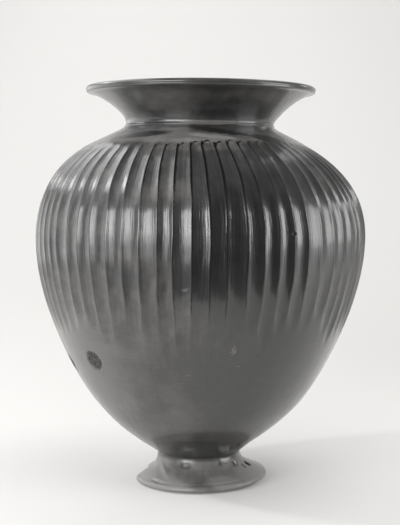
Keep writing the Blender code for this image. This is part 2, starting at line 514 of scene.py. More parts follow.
    def inside(self) -> np.ndarray:
        """Draw the inner wall from the middle of its floor up to the lip.

        Returns:
            Rows of (radius, height).
        """
        s = self.sizes
        curve = np.concatenate([self.body(), self.flare()])
        height = curve[:, 1]
        to_lip = smooth_step((height - s.neck_level) / s.flare_height)
        thickness = s.wall + (s.lip_thickness - s.wall) * to_lip
        at_belly = smooth_step((height - self.stouter_from) / self.stouter_over)
        thickness += self.stouter * at_belly * (1.0 - to_lip)
        wall = curve + left_of(np.gradient(curve, axis=0)) * thickness[:, None]
        wall = wall[wall[:, 1] > s.floor_level + self.floor_corner]
        wall = wall[wall[:, 1] < s.rim_level - self.lip_gap]
        start = tuple(wall[0])
        floor = bezier(
            (0.0, s.floor_level),
            (self.floor_flat * start[0], s.floor_level),
            step_from(start, self.floor_slope, -self.floor_bend),
            start,
        )
        return np.concatenate([floor, wall[1:]])

    def stretches(self) -> list[Stretch]:
        """Cut the outline into stretches, each with its share of the mesh.

        Returns:
            The stretches, from the inner floor over the lip to the underside.
        """
        body = self.body()[::-1]
        height = body[:, 1]
        tops = (height <= self.flute_high) & (height > self.tops_low)
        flutes = (height <= self.tops_low) & (height > self.flute_low)
        inside = self.inside()
        inner_floor = inside[inside[:, 1] < self.sizes.floor_level + self.floor_bend]
        return [
            Stretch(inner_floor, 8, 64),
            Stretch(inside[len(inner_floor) :], 44, 128),
            Stretch(self.lip(), 24, 256),
            Stretch(self.flare()[::-1], 24, 256),
            Stretch(self.ridge(), 10, 256),
            Stretch(body[height > self.flute_high], 8, 256),
            Stretch(body[tops], 22, 512),
            Stretch(body[flutes], 64, 512),
            Stretch(body[height <= self.flute_low], 42, 256),
            Stretch(self.foot(), 20, 256),
            Stretch(self.foot_edge(), 10, 256),
            Stretch(self.underside(), 12, 64),
        ]


@dataclass
class Flutes:
    """The ring of upright flutes, hand pressed, so no two are alike.

    The flutes that face the picture have the widths and lower ends that it shows, in whole
    millimetres. Those behind are drawn at random about the same middle values.

    Attributes:
        sizes: the driving sizes.
        count: the number of flutes round the belly.
        first_deg: the azimuth of the edge where the first seen flute starts.
        widths_mm: the seen flutes' widths at the belly, from left to right.
        ends_mm: the heights above the floor where they run out.
        width_spread: how far the hidden flutes' widths stray, as a share.
        hidden_end: the middle height of the hidden flutes' lower ends.
        end_spread: how far those stray.
        depth: how deep a flute is at the belly.
        depth_spread: how far the depths stray, as a share.
        shallow: the seen flutes that are pressed less, by number, and their share of the depth.
        top: the height of the flutes' upper ends.
        top_spread: how far those stray.
        top_runout: the height over which the flutes reach full depth below their upper ends.
        end_runout: the height over which they run out at the bottom.
        end_reach: how far the hollow goes on, unseen, below the end that is seen.
        top_squareness: how square the upper ends are, more above 1.
        end_squareness: how square the lower ends are.
        most_land: where the plain land beyond an end stops rising, in run-outs.
        lean_deg: how far the edges lean towards the front where the shoulder turns in.
        lean_from: the height where they start to lean.
        lean_over: the height over which they do.
        seed: what the random draws start from.
        arrises_deg: the azimuths of the sharp edges between flutes, and the first one again.
        tops: the height of each flute's upper end.
        ends: the height where each one's hollow ends.
        depths: each one's depth at the belly.
    """

    sizes: JarSizes
    count: int = 64
    first_deg: float = -69.0
    widths_mm: tuple[int, ...] = (
        29, 26, 28, 32, 30, 31, 32, 33, 31, 31, 29, 31, 31,
        31, 33, 31, 30, 27, 32, 32, 33, 31, 30, 29, 27,
    )
    ends_mm: tuple[int, ...] = (
        308, 308, 314, 318, 327, 318, 300, 339, 310, 304, 270, 285, 291,
        256, 302, 320, 289, 318, 327, 320, 339, 312, 291, 302, 308,
    )
    width_spread: float = 0.07
    hidden_end: float = 0.306
    end_spread: float = 0.016
    depth: float = 0.0042
    depth_spread: float = 0.1
    shallow: tuple[tuple[int, float], ...] = ((12, 0.60), (13, 0.42), (15, 0.72), (19, 0.50))
    top: float = 0.6425
    top_spread: float = 0.0011
    top_runout: float = 0.020
    end_runout: float = 0.050
    end_reach: float = 0.014
    top_squareness: float = 2.4
    end_squareness: float = 1.5
    most_land: float = 3.0
    lean_deg: float = 1.2
    lean_from: float = 0.42
    lean_over: float = 0.19
    seed: int = 7
    arrises_deg: np.ndarray = field(init=False)
    tops: np.ndarray = field(init=False)
    ends: np.ndarray = field(init=False)
    depths: np.ndarray = field(init=False)

    def __post_init__(self) -> None:
        """Work out every flute's edges, ends and depth."""
        draw = random.Random(self.seed)
        all_flutes = range(self.count)
        spread = self.width_spread
        degrees_per_mm = 360.0 / (math.pi * self.sizes.belly_diameter * 1000)
        seen = [width * degrees_per_mm for width in self.widths_mm]
        hidden = [1.0 + draw.uniform(-spread, spread) for _ in range(self.count - len(seen))]
        share = (360.0 - sum(seen)) / sum(hidden)
        widths = seen + [share * width for width in hidden]
        self.arrises_deg = self.first_deg + np.concatenate([[0.0], np.cumsum(widths)])
        ends = [end / 1000 for end in self.ends_mm]
        ends += [self.hidden_end + draw.gauss(0.0, self.end_spread) for _ in hidden]
        self.ends = np.array(ends) - self.end_reach
        turns = np.radians(self.arrises_deg[:-1])
        wander = 0.0016 * np.sin(2 * turns + 0.6) + 0.0012 * np.sin(5 * turns)
        strays = np.array([draw.gauss(0.0, self.top_spread) for _ in all_flutes])
        self.tops = self.top + wander + strays
        least, most = 1.0 - self.depth_spread, 1.0 + self.depth_spread
        self.depths = self.depth * np.array([draw.uniform(least, most) for _ in all_flutes])
        for number, share in self.shallow:
            self.depths[number] = share * self.depth

    def number(self, turn: np.ndarray) -> np.ndarray:
        """Return the numbers of the flutes that places lie in."""
        return np.clip(np.floor(turn).astype(int), 0, self.count - 1)

    def azimuth(self, turn: np.ndarray, height: np.ndarray) -> np.ndarray:
        """Return the azimuth, in degrees, of places given by flute.

        Args:
            turn: the flute's number plus how far across it the place is.
            height: the height of the place above the floor.

        Returns:
            Azimuths, with the flutes' edges leaning and wandering a little with height.
        """
        number = self.number(turn)
        left = self.arrises_deg[number] + self._wander(number, height)
        right = self.arrises_deg[number + 1] + self._wander((number + 1) % self.count, height)
        middle = left + (turn - number) * (right - left)
        above = np.clip((height - self.lean_from) / self.lean_over, 0.0, 1.3)
        return middle - self.lean_deg * above * (1.0 - np.cos(np.radians(2 * middle)))

    @staticmethod
    def _wander(number: np.ndarray, height: np.ndarray) -> np.ndarray:
        """Work out how far each edge strays sideways, more quickly and slowly with height.

        Args:
            number: the edges' numbers.
            height: the height of a place on each.

        Returns:
            The stray in degrees, none on the plain bowl.
        """
        fluted = smooth_step((height - 0.22) / 0.1)
        slow = np.sin(9.0 * height + 2.3 * number)
        quick = np.sin(23.0 * height + 4.1 * number)
        short = np.sin(71.0 * height + 5.3 * number) * np.sin(19.0 * height + 1.9 * number)
        return fluted * (0.20 * slow + 0.11 * quick + 0.12 * short)

    @staticmethod
    def pressure(turn: np.ndarray, height: np.ndarray) -> np.ndarray:
        """Work out how firmly each flute is pressed along its length.

        Args:
            turn: the flute's number plus how far across it the place is.
            height: the height of the place.

        Returns:
            The share of the flute's depth, about 1.
        """
        number = np.floor(turn)
        slow = np.sin(13.0 * height + 2.7 * number)
        quick = np.sin(37.0 * height + 1.3 * number)
        return 1.0 + 0.10 * slow + 0.07 * quick


class MarkKind(Enum):
    """The kinds of damage and wear on the surface."""

    SPALL = "a shallow flake lost, rough inside"
    PIT = "a small deep hole"
    GOUGE = "a narrow cut"
    SCUFF = "a rubbed place, paler and hardly dented"
    GROOVE = "a long soft groove under the tool"
    FACET = "a flat place left by the tool"
    EDGE = "a blunt edge where two such places meet"


@dataclass(frozen=True)
class Mark:
    """One mark on the outside of the jar.

    Attributes:
        kind: what the mark is.
        azimuth_deg: the azimuth of its middle.
        height: the height of its middle.
        half_length: half its length, along its own direction.
        half_width: half its width, across it.
        turn_deg: its direction, anticlockwise from level as seen from outside.
        depth: how deep it goes.
        fineness: the longest edge that the net may have under it, or 0 for no change.
    """

    kind: MarkKind
    azimuth_deg: float
    height: float
    half_length: float
    half_width: float
    turn_deg: float = 0.0
    depth: float = 0.0005
    fineness: float = 0.0


@dataclass(frozen=True)
class Cloud:
    """A place where the firing or the burnishing left the clay darker, paler or duller, or where light
    or shade is painted in as paler or darker clay.

    Attributes:
        azimuth_deg: the azimuth of its middle.
        height: the height of its middle.
        half_width_deg: half its width round the jar.
        half_height: half its height.
        strength: how much darker or duller, or below zero how much paler or shinier.
        turn: how far it rises for each degree to the right.
        softness: how wide its edge is, as a share of its half size.
    """

    azimuth_deg: float
    height: float
    half_width_deg: float
    half_height: float
    strength: float
    turn: float = 0.0
    softness: float = 1.0


MARKS = (
    # A flake lost from the bowl, and a hole in a flute
    Mark(MarkKind.SPALL, -46.4, 0.2545, 0.0205, 0.0215, -20.0, 0.0022, 0.0024),
    Mark(MarkKind.PIT, 30.6, 0.4850, 0.0036, 0.0032, 0.0, 0.0042, 0.0012),
    # Knocks and a scratch
    Mark(MarkKind.SCUFF, 12.5, 0.2845, 0.0175, 0.0100, 84.0, 0.0003, 0.0024),
    Mark(MarkKind.SCUFF, -4.8, 0.3910, 0.0085, 0.0042, 20.0, 0.0003, 0.0020),
    Mark(MarkKind.SCUFF, -4.5, 0.2400, 0.0060, 0.0030, 10.0, 0.0003, 0.0020),
    Mark(MarkKind.SCUFF, 15.0, 0.2560, 0.0080, 0.0028, -20.0, 0.0003, 0.0020),
    Mark(MarkKind.SCUFF, 13.5, 0.4290, 0.0030, 0.0030, 0.0, 0.0003),
    Mark(MarkKind.GOUGE, 24.0, 0.2750, 0.0150, 0.0012, 12.0, 0.0004),
    # A second flake, lost from the bowl's left side
    Mark(MarkKind.SPALL, -74.0, 0.2360, 0.0170, 0.0160, 78.0, 0.0030, 0.0030),
    # The foot's two cuts, its grooves and the places where the tool pressed it
    Mark(MarkKind.GOUGE, 80.0, 0.0293, 0.0085, 0.0085, -83.0, 0.0045, 0.0018),
    Mark(MarkKind.GOUGE, 65.5, 0.0303, 0.0070, 0.0026, -97.0, 0.0024, 0.0018),
    Mark(MarkKind.GROOVE, -42.0, 0.0172, 0.0320, 0.0048, -3.0, 0.0026, 0.0020),
    Mark(MarkKind.GROOVE, 16.0, 0.0162, 0.1150, 0.0030, 0.0, 0.0013, 0.0024),
    Mark(MarkKind.EDGE, -43.0, 0.0285, 0.0440, 0.0180, -30.0, 0.0014, 0.0030),
    Mark(MarkKind.FACET, -18.5, 0.0425, 0.0090, 0.0070, 0.0, -0.0010, 0.0030),
    Mark(MarkKind.FACET, 33.0, 0.0430, 0.0080, 0.0060, 0.0, -0.0008, 0.0030),
    Mark(MarkKind.FACET, 54.0, 0.0390, 0.0070, 0.0060, 0.0, -0.0008, 0.0030),
)

CLOUDS = (
    # Soot on the belly
    Cloud(16.0, 0.470, 20.0, 0.110, 0.9),
    Cloud(4.0, 0.400, 12.0, 0.050, 0.5),
    # Smears on the shoulder; the paler streak under the dark lens is a painted highlight
    Cloud(-33.0, 0.6570, 16.0, 0.0050, 1.1, 0.0002, 0.5),
    Cloud(12.0, 0.6630, 19.0, 0.0036, 1.4, -0.00045, 0.30),
    Cloud(8.0, 0.6525, 12.0, 0.0034, -1.1, -0.0003, 0.5),
    Cloud(40.5, 0.6500, 9.0, 0.0062, 1.2, -0.0003, 0.35),
    # Faint soot on the flare and low on the belly
    Cloud(24.0, 0.705, 30.0, 0.016, 0.3),
    Cloud(30.0, 0.330, 30.0, 0.060, 0.3),
    # The stem's dark band, painted shade and a painted dark reflection under the bowl's overhang, and
    # the foot's blotches
    Cloud(0.0, 0.0770, 43.0, 0.0225, 1.1, 0.0, 0.10),
    Cloud(-14.0, 0.0290, 26.0, 0.0130, 0.22, -0.0006, 0.7),
    Cloud(-6.0, 0.0230, 9.0, 0.0080, 0.15, 0.0, 1.2),
    Cloud(68.0, 0.0200, 22.0, 0.0130, -0.7, 0.0, 1.0),
    # Painted shade along the foot's groove on the left
    Cloud(-42.0, 0.0176, 12.0, 0.0012, 0.6, 0.0, 0.5),
    # The bowl, paler on the left as painted light and darker on the right as painted shade
    Cloud(-62.0, 0.2400, 30.0, 0.1100, -0.8, 0.0, 1.4),
    Cloud(44.0, 0.2600, 36.0, 0.1300, 0.9, 0.0, 1.4),
)

DULL_AND_PAINTED_LIGHT_PLACES = (
    # The foot, with three spots that kept their shine
    Cloud(0.0, 0.000, 400.0, 0.0490, 1.0, 0.0, 0.16),
    # The foot's left facet, painted paler as a lit side, its sharp diagonal edge a painted shadow edge
    Cloud(-52.0, 0.0200, 42.0, 0.0135, 0.45, -0.00057, 0.12),
    # Duller places on the foot
    Cloud(20.0, 0.0190, 15.0, 0.0060, 0.30, 0.0, 0.8),
    Cloud(68.0, 0.0200, 22.0, 0.0130, 0.40, 0.0, 1.0),
    # Three spots that kept their shine
    Cloud(-18.5, 0.0410, 7.0, 0.0055, -0.85, 0.0, 0.9),
    Cloud(33.0, 0.0420, 6.0, 0.0050, -0.8, 0.0, 0.9),
    Cloud(54.0, 0.0375, 5.5, 0.0045, -0.8, 0.0, 0.9),
    # The neck and the shoulder
    Cloud(8.0, 0.6790, 24.0, 0.0040, 0.9, 0.0, 0.4),
    Cloud(0.0, 0.7150, 80.0, 0.0220, 0.5, 0.0, 1.2),
    Cloud(0.0, 0.653, 400.0, 0.0110, 0.65, 0.0, 0.9),
    Cloud(5.0, 0.636, 28.0, 0.0110, 0.5, 0.0, 1.0),
    Cloud(-28.0, 0.6700, 30.0, 0.0060, 0.6, 0.0, 0.8),
)


@dataclass(frozen=True)
class CreaseShade:
    """Painted shade in the flutes, by their left edges and their tops, drawn as near-black clay.

    Attributes:
        edge: where across a flute the painted shade by its edge lies.
        edge_spread: how far that spreads.
        edge_above: how far above the flute's upper end it begins.
        edge_start: the height over which it sets in below that.
        belly: its share on the belly, with the rest only higher up.
        belly_from: the height where the belly's share sets in.
        belly_over: the height over which it does.
        high_from: the height where the rest sets in.
        high_over: the height over which it does.
        arch: how deep in the hollow the painted shade round a top lies, as a share of its depth.
        arch_spread: how far that spreads.
        arch_above: how far above the flute's upper end it begins.
        arch_below: how far below it ends.
        fading: how much of it is missing at the flute's right edge.
        least: the share that is left where the painted shade is faintest.
        most_deg: the azimuth where it is darkest.
        spread_deg: how far that spreads to each side.
    """

    edge: float = 0.05
    edge_spread: float = 0.11
    edge_above: float = 0.001
    edge_start: float = 0.004
    belly: float = 0.62
    belly_from: float = 0.28
    belly_over: float = 0.10
    high_from: float = 0.53
    high_over: float = 0.06
    arch: float = 0.08
    arch_spread: float = 0.22
    arch_above: float = 0.003
    arch_below: float = 0.014
    fading: float = 0.5
    least: float = 0.35
    most_deg: float = 12.0
    spread_deg: float = 34.0

    def cover(
        self, flutes: Flutes, turn: np.ndarray, height: np.ndarray, azimuth: np.ndarray
    ) -> np.ndarray:
        """Work out how much painted shade lies at some places.

        Args:
            flutes: the flutes.
            turn: the places' flutes.
            height: their heights.
            azimuth: their azimuths.

        Returns:
            A share for each place.
        """
        across = turn - np.floor(turn)
        below = flutes.tops[flutes.number(turn)] - height
        on_belly = smooth_step((height - self.belly_from) / self.belly_over)
        high = smooth_step((height - self.high_from) / self.high_over)
        started = smooth_step((below + self.edge_above) / self.edge_start)
        edge = bell(across, self.edge, self.edge_spread) * started
        edge = edge * (self.belly * on_belly + (1.0 - self.belly) * high)
        land = np.clip(1.0 - below / flutes.top_runout, 0.0, flutes.most_land)
        within = 4.0 * across * (1.0 - across) - land**flutes.top_squareness
        arch = bell(within, self.arch, self.arch_spread)
        arch = arch * (below > -self.arch_above) * (below < self.arch_below)
        crease_shade = np.maximum(edge, arch * (1.0 - self.fading * across))
        return crease_shade * (self.least + (1.0 - self.least) * bell(azimuth, self.most_deg, self.spread_deg))


@dataclass
class HandWork:
    """What the potter's hand left uneven: the lean, the tilt of the rim and the soft waves.

    Attributes:
        sizes: the driving sizes.
        lean: how far the middle lies to the right, by share of the height.
        rim_tilt_deg: the fall of the rim towards the right.
        rim_tilt_from: the height where that tilt sets in.
        foot_forward: how far the foot stands towards the front.
        foot_edge_tilt_deg: the rise of the foot's edge towards the right.
        foot_edge_rise: the height over which that tilt sets in, above the level resting ring.
        foot_flat: how far the foot is flattened at the back left.
        foot_flat_deg: the azimuth of the flattened side.
        foot_flat_spread_deg: how far the flat spreads to each side.
        wave: the height of the soft waves in the plain wall.
        wave_scale: how quickly the broad waves change in x, y and z, in steps per metre.
        ripple_scale: how quickly the finer ones do.
        ripple_share: how high those are, as a share of the broad ones.
        calm_foot: the height over which the waves set in above the floor.
        calm_lip: the height over which they die away below the lip.
    """

    sizes: JarSizes
    lean: tuple[Point, ...] = (
        (0.00, 0.0015), (0.07, -0.0038), (0.10, -0.0070), (0.15, -0.0056), (0.20, -0.0035),
        (0.33, -0.0026), (0.50, -0.0011), (0.66, 0.0005), (0.72, -0.0005), (0.78, -0.0037),
        (0.85, -0.0085), (0.90, -0.0020), (0.93, 0.0020), (0.96, 0.0016), (1.00, 0.0006),
    )
    rim_tilt_deg: float = -0.40
    rim_tilt_from: float = 0.640
    foot_forward: float = 0.013
    foot_edge_tilt_deg: float = 2.1
    foot_edge_rise: float = 0.0048
    foot_flat: float = 0.019
    foot_flat_deg: float = -103.0
    foot_flat_spread_deg: float = 27.0
    wave: float = 0.0005
    wave_scale: tuple[float, ...] = (9.0, 9.0, 14.0)
    ripple_scale: tuple[float, ...] = (26.0, 26.0, 40.0)
    ripple_share: float = 0.35
    calm_foot: float = 0.02
    calm_lip: float = 0.03

    def waves(self, points: np.ndarray, height: np.ndarray) -> np.ndarray:
        """Work out how deep the soft waves of the wall are at some points.

        Args:
            points: rows of (x, y, z).
            height: the points' heights before the tilts.

        Returns:
            Depths, all of them inwards, and none at the resting ring and the lip.
        """
        broad, fine = noise_at(points * self.wave_scale), noise_at(points * self.ripple_scale)
        above, below = height / self.calm_foot, (self.sizes.rim_level - height) / self.calm_lip
        wavy = smooth_step(above) * smooth_step(below)
        return self.wave * (1.0 + broad + self.ripple_share * fine) * wavy

    def place(self, radius: np.ndarray, height: np.ndarray, azimuth_deg: np.ndarray) -> np.ndarray:
        """Turn radii, heights and azimuths into points, with the lean and the tilts.

        Args:
            radius: the distance from the wall's own middle.
            height: the height before the tilts.
            azimuth_deg: the azimuth.

        Returns:
            Rows of (x, y, z).
        """
        s = self.sizes
        angle = np.radians(azimuth_deg)
        foot_share = 1.0 - smooth_step(height / s.stem_level)
        edge_share = smooth_step(height / self.foot_edge_rise) * foot_share
        tilt_over = s.neck_level - self.rim_tilt_from
        neck_share = smooth_step((height - self.rim_tilt_from) / tilt_over)
        from_flat = np.abs(half_turn(azimuth_deg - self.foot_flat_deg))
        flat_share = edge_share * smooth_step(1.0 - from_flat / self.foot_flat_spread_deg)
        radius = radius * (1.0 - flat_share * self.foot_flat / (s.foot_diameter / 2))
        x = radius * np.sin(angle)
        y = -radius * np.cos(angle)
        tilt_deg = self.foot_edge_tilt_deg * edge_share + self.rim_tilt_deg * neck_share
        z = height + x * np.tan(np.radians(tilt_deg))
        shares, shifts = np.array(self.lean).T
        x = x + np.interp(height / s.rim_level, shares, shifts)
        return np.stack([x, y - self.foot_forward * foot_share, z], axis=1)


@dataclass
class FlutePress:
    """The node tree that presses the flutes into the smooth wall.

    Attributes:
        flutes: the flutes' sizes.
        bluntness: how rounded the edges between flutes are, as a share of the depth.
    """

    flutes: Flutes
    bluntness: float = 0.055

    def tree(self) -> bpy.types.NodeTree:
        """Build the tree.

        Returns:
            A geometry node tree with the run-outs, the bluntness and the material as inputs.
        """
        tree = bpy.data.node_groups.new("press_flutes", "GeometryNodeTree")
        for name, way, kind in (
            ("Geometry", "INPUT", "Geometry"),
            ("Top run-out", "INPUT", "Float"),
            ("End run-out", "INPUT", "Float"),
            ("Bluntness", "INPUT", "Float"),
            ("Material", "INPUT", "Material"),
            ("Geometry", "OUTPUT", "Geometry"),
        ):
            tree.interface.new_socket(name, in_out=way, socket_type=f"NodeSocket{kind}")
        given = add_node(tree, "NodeGroupInput").outputs
        found = {name: given[name] for name in ("Top run-out", "End run-out", "Bluntness")}
        for name in ("height", "turn", "flute_top", "flute_end", "flute_depth"):
            found[name] = add_node(
                tree, "GeometryNodeInputNamedAttribute", {"Name": name}, data_type="FLOAT"
            ).outputs["Attribute"]
        for name, operation, *terms in (
            # Across a flute the hollow is a parabola, 0 at the edges and 1 in the middle
            ("across", "FRACT", "turn"),
            ("rest", "SUBTRACT", 1.0, "across"),
            ("both", "MULTIPLY", "across", "rest"),
            ("hollow", "MULTIPLY", "both", 4.0),
            # Towards each end the plain land rises through it
            ("below top", "SUBTRACT", "flute_top", "height"),
            ("top share", "DIVIDE", "below top", "Top run-out"),
            ("top left", "SUBTRACT", 1.0, "top share"),
            ("top held", "MAXIMUM", "top left", 0.0),
            ("top capped", "MINIMUM", "top held", self.flutes.most_land),
            ("top land", "POWER", "top capped", self.flutes.top_squareness),
            ("above end", "SUBTRACT", "height", "flute_end"),
            ("end share", "DIVIDE", "above end", "End run-out"),
            ("end left", "SUBTRACT", 1.0, "end share"),
            ("end held", "MAXIMUM", "end left", 0.0),
            ("end capped", "MINIMUM", "end held", self.flutes.most_land),
            ("end land", "POWER", "end capped", self.flutes.end_squareness),
            ("first cut", "SUBTRACT", "hollow", "top land"),
            ("cut", "SUBTRACT", "first cut", "end land"),
            # What is above the wall is left out, with a rounded edge
            ("square", "MULTIPLY", "cut", "cut"),
            ("soft", "MULTIPLY_ADD", "Bluntness", "Bluntness", "square"),
            ("root", "SQRT", "soft"),
            ("twice", "ADD", "cut", "root"),
            ("pressed", "MULTIPLY", "twice", 0.5),
            ("depth", "MULTIPLY", "pressed", "flute_depth"),
            ("inward", "MULTIPLY", "depth", -1.0),
        ):
            inputs = tuple(found.get(term, term) for term in terms)
            found[name] = add_node(tree, MATH, inputs, operation=operation)
        normal = add_node(tree, "GeometryNodeInputNormal")
        offset = add_node(
            tree, "ShaderNodeVectorMath", {0: normal, "Scale": found["inward"]}, operation="SCALE"
        )
        kept = add_node(
            tree,
            "GeometryNodeStoreNamedAttribute",
            {"Geometry": given["Geometry"], "Name": "pressed", "Value": found["pressed"]},
            data_type="FLOAT",
            domain="POINT",
        )
        moved = add_node(tree, "GeometryNodeSetPosition", {"Geometry": kept, "Offset": offset})
        real = add_node(tree, "GeometryNodeRealizeInstances", (moved,))
        dressed = add_node(
            tree, "GeometryNodeSetMaterial", {"Geometry": real, "Material": given["Material"]}
        )
        add_node(tree, "NodeGroupOutput", (dressed,))
        return tree

    def press(self, jar: bpy.types.Object, material: bpy.types.Material) -> bpy.types.Mesh:
        """Press the flutes into a smooth jar and return the plain mesh.

        Args:
            jar: the object whose mesh carries the numbers that the tree reads.
            material: the clay.

        Returns:
            The mesh with flutes, its material set.
        """
        modifier = jar.modifiers.new("press_flutes", "NODES")
        modifier.node_group = self.tree()
        settings = {
            "Top run-out": self.flutes.top_runout,
            "End run-out": self.flutes.end_runout,
            "Bluntness": self.bluntness,
            "Material": material,
        }
        for item in modifier.node_group.interface.items_tree:
            if item.name in settings:
                modifier[item.identifier] = settings[item.name]
        graph = bpy.context.evaluated_depsgraph_get()
        mesh = bpy.data.meshes.new_from_object(jar.evaluated_get(graph))
        jar.modifiers.remove(modifier)
        return mesh


@dataclass
class Jar:
    """The jar itself: one closed mesh, turned, marked, leaned and fluted.

    Attributes:
        outline: the turned outline.
        flutes: the flutes.
        hand: the unevenness of the hand.
        marks: the damage on the outside.
        clouds: the darker and paler places, some of them painted light and painted shade.
        dull_and_painted_light_places: where handling and dust took the shine, and the foot's left
            facet painted paler as a lit side.
        crease_shade: the painted shade in the flutes, by their left edges and their tops.
        across: where the points of a ring stand across a flute, closer at its edges.
        splits: how many times the long edges under a fine mark are split.
        ragged_scale: how fine the ragged edge of a break is, in steps per metre.
        rough_scale: how fine the rough bottom of one is.
    """

    outline: Outline
    flutes: Flutes
    hand: HandWork
    marks: tuple[Mark, ...] = MARKS
    clouds: tuple[Cloud, ...] = CLOUDS
    dull_and_painted_light_places: tuple[Cloud, ...] = DULL_AND_PAINTED_LIGHT_PLACES
    crease_shade: CreaseShade = CreaseShade()
    across: tuple[float, ...] = (0.0, 0.05, 0.16, 0.32, 0.5, 0.68, 0.84, 0.95)
    splits: int = 3
    ragged_scale: float = 420.0
    rough_scale: float = 210.0

    def __post_init__(self) -> None:
        """Lay out the outline as one line, with the distance travelled along it."""
        self.stretches = self.outline.stretches()
        line = np.concatenate([stretch.line for stretch in self.stretches])
        self.line = line[np.concatenate([[True], step_lengths(line) > MERGE_DISTANCE])]
        self.travelled = np.concatenate([[0.0], np.cumsum(step_lengths(self.line))])
        self.normals = left_of(np.gradient(self.line, self.travelled, axis=0))

    def _spot(self, along: np.ndarray | float) -> tuple[np.ndarray, np.ndarray]:
        """Return the radius and the height at distances along the outline."""
        radii, heights = self.line.T
        return np.interp(along, self.travelled, radii), np.interp(along, self.travelled, heights)

    def _columns(self, count: int) -> list[float]:
        """Work out where the points of a ring stand.

        Args:
            count: the number of points.

        Returns:
            Each point's flute plus how far across it the point is.
        """
        step = len(self.across) // (count // self.flutes.count)
        shares = self.across[::step]
        return [number + share for number in range(self.flutes.count) for share in shares]

    def _rings(self) -> list[tuple[float, int]]:
        """Spread the rings over the outline.

        Returns:
            Each ring's distance along the outline and its number of points.
        """
        rings = []
        travelled = 0.0
        last = self.stretches[0].line[0]
        for stretch in self.stretches:
            gap = float(np.hypot(*(stretch.line[0] - last)))
            begin = travelled + gap
            travelled = begin + step_lengths(stretch.line).sum()
            stops = np.linspace(begin, travelled, stretch.rings + 1)
            if rings and gap < MERGE_DISTANCE:
                stops = stops[1:]
            rings += [(float(stop), stretch.columns) for stop in stops]
            last = stretch.line[-1]
        return rings

    def blank(self) -> bmesh.types.BMesh:
        """Make the jar's net of faces, each point knowing only its flute and its distance.

        Returns:
            A closed net with the number layers "turn" and "along".
        """
        net = bmesh.new()
        turn_layer = net.verts.layers.float.new("turn")
        along_layer = net.verts.layers.float.new("along")

        def add_ring(along: float, turns: list[float]) -> list[bmesh.types.BMVert]:
            """Add one ring of points to the net.

            Args:
                along: its distance along the outline.
                turns: where its points stand, by flute.

            Returns:
                The points.
            """
            ring = []
            radius, height = (float(value) for value in self._spot(along))
            for turn in turns:
                angle = math.tau * turn / self.flutes.count
                spot = (radius * math.cos(angle), radius * math.sin(angle), height)
                vertex = net.verts.new(spot)
                vertex[turn_layer] = turn
                vertex[along_layer] = along
                ring.append(vertex)
            return ring

        rings = [add_ring(along, self._columns(count)) for along, count in self._rings()[1:-1]]
        for upper, lower in zip(rings, rings[1:]):
            self._join(net, upper, lower)
        end = float(self.travelled[-1])
        for ring, along, order in ((rings[0], 0.0, 1), (rings[-1], end, -1)):
            pole = add_ring(along, [0.0])[0]
            for first, second in zip(ring, ring[1:] + ring[:1]):
                net.faces.new((pole, first, second)[::order])
        return net

    @staticmethod
    def _join(net: bmesh.types.BMesh, upper: list, lower: list) -> None:
        """Join two rings, of equal counts or of one and a multiple of it.

        Args:
            net: the net that they are in.
            upper: the points of the ring that comes first on the outline.
            lower: the points of the next one.
        """
        coarse, fine = (upper, lower) if len(upper) <= len(lower) else (lower, upper)
        flip = -1 if coarse is upper else 1
        ratio = len(fine) // len(coarse)
        for i, corner in enumerate(coarse):
            following = coarse[(i + 1) % len(coarse)]
            run = [fine[(i * ratio + k) % len(fine)] for k in range(ratio + 1)]
            if ratio == 1:
                net.faces.new((corner, following, run[1], run[0])[::flip])
                continue
            half = ratio // 2
            for k in range(ratio):
                apex = corner if k < half else following
                net.faces.new((apex, run[k + 1], run[k])[::flip])
            net.faces.new((corner, following, run[half])[::flip])

    def refine(self, net: bmesh.types.BMesh) -> None:
        """Split the long edges under each fine mark, so that its own edge is clean.

        Args:
            net: the jar's net.
        """
        turn_layer = net.verts.layers.float["turn"]
        along_layer = net.verts.layers.float["along"]
        for mark in self.marks:
            for _ in range(self.splits if mark.fineness else 0):
                verts = list(net.verts)
                turn = np.array([v[turn_layer] for v in verts])
                along = np.array([v[along_layer] for v in verts])
                reach, _ = self._local(mark, turn, along)
                near = {verts[i] for i in np.nonzero(reach < 1.5)[0]}
                edges = [
                    edge
                    for edge in net.edges
                    if not near.isdisjoint(edge.verts) and edge.calc_length() > mark.fineness
                ]
                bmesh.ops.subdivide_edges(net, edges=edges, cuts=1, use_grid_fill=True)
        bmesh.ops.triangulate(net, faces=[face for face in net.faces if len(face.verts) > 4])

    def _station(self, height: float) -> float:
        """Find a height on the outside of the outline.

        Args:
            height: the height above the floor.

        Returns:
            The distance along the outline.
        """
        crown, sole = np.argmax(self.line[:, 1]), np.argmin(self.line[:, 1])
        outside = slice(crown, sole + 1)
        return float(np.interp(-height, -self.line[outside, 1], self.travelled[outside]))

    def _local(
        self, mark: Mark, turn: np.ndarray, along: np.ndarray
    ) -> tuple[np.ndarray, np.ndarray]:
        """Return how far places lie from a mark's middle, as shares of its half sizes.

        Args:
            mark: the mark.
            turn: the places' flutes.
            along: the places' distances along the outline.

        Returns:
            The distance from the middle, 1 on the mark's edge, and the share across it.
        """
        radius, height = self._spot(along)
        azimuth = self.flutes.azimuth(turn, height)
        sideways = np.radians(half_turn(azimuth - mark.azimuth_deg)) * radius
        upwards = self._station(mark.height) - along
        angle = math.radians(mark.turn_deg)
        lengthways = sideways * math.cos(angle) + upwards * math.sin(angle)
        across = (upwards * math.cos(angle) - sideways * math.sin(angle)) / mark.half_width
        return np.hypot(lengthways / mark.half_length, across), across

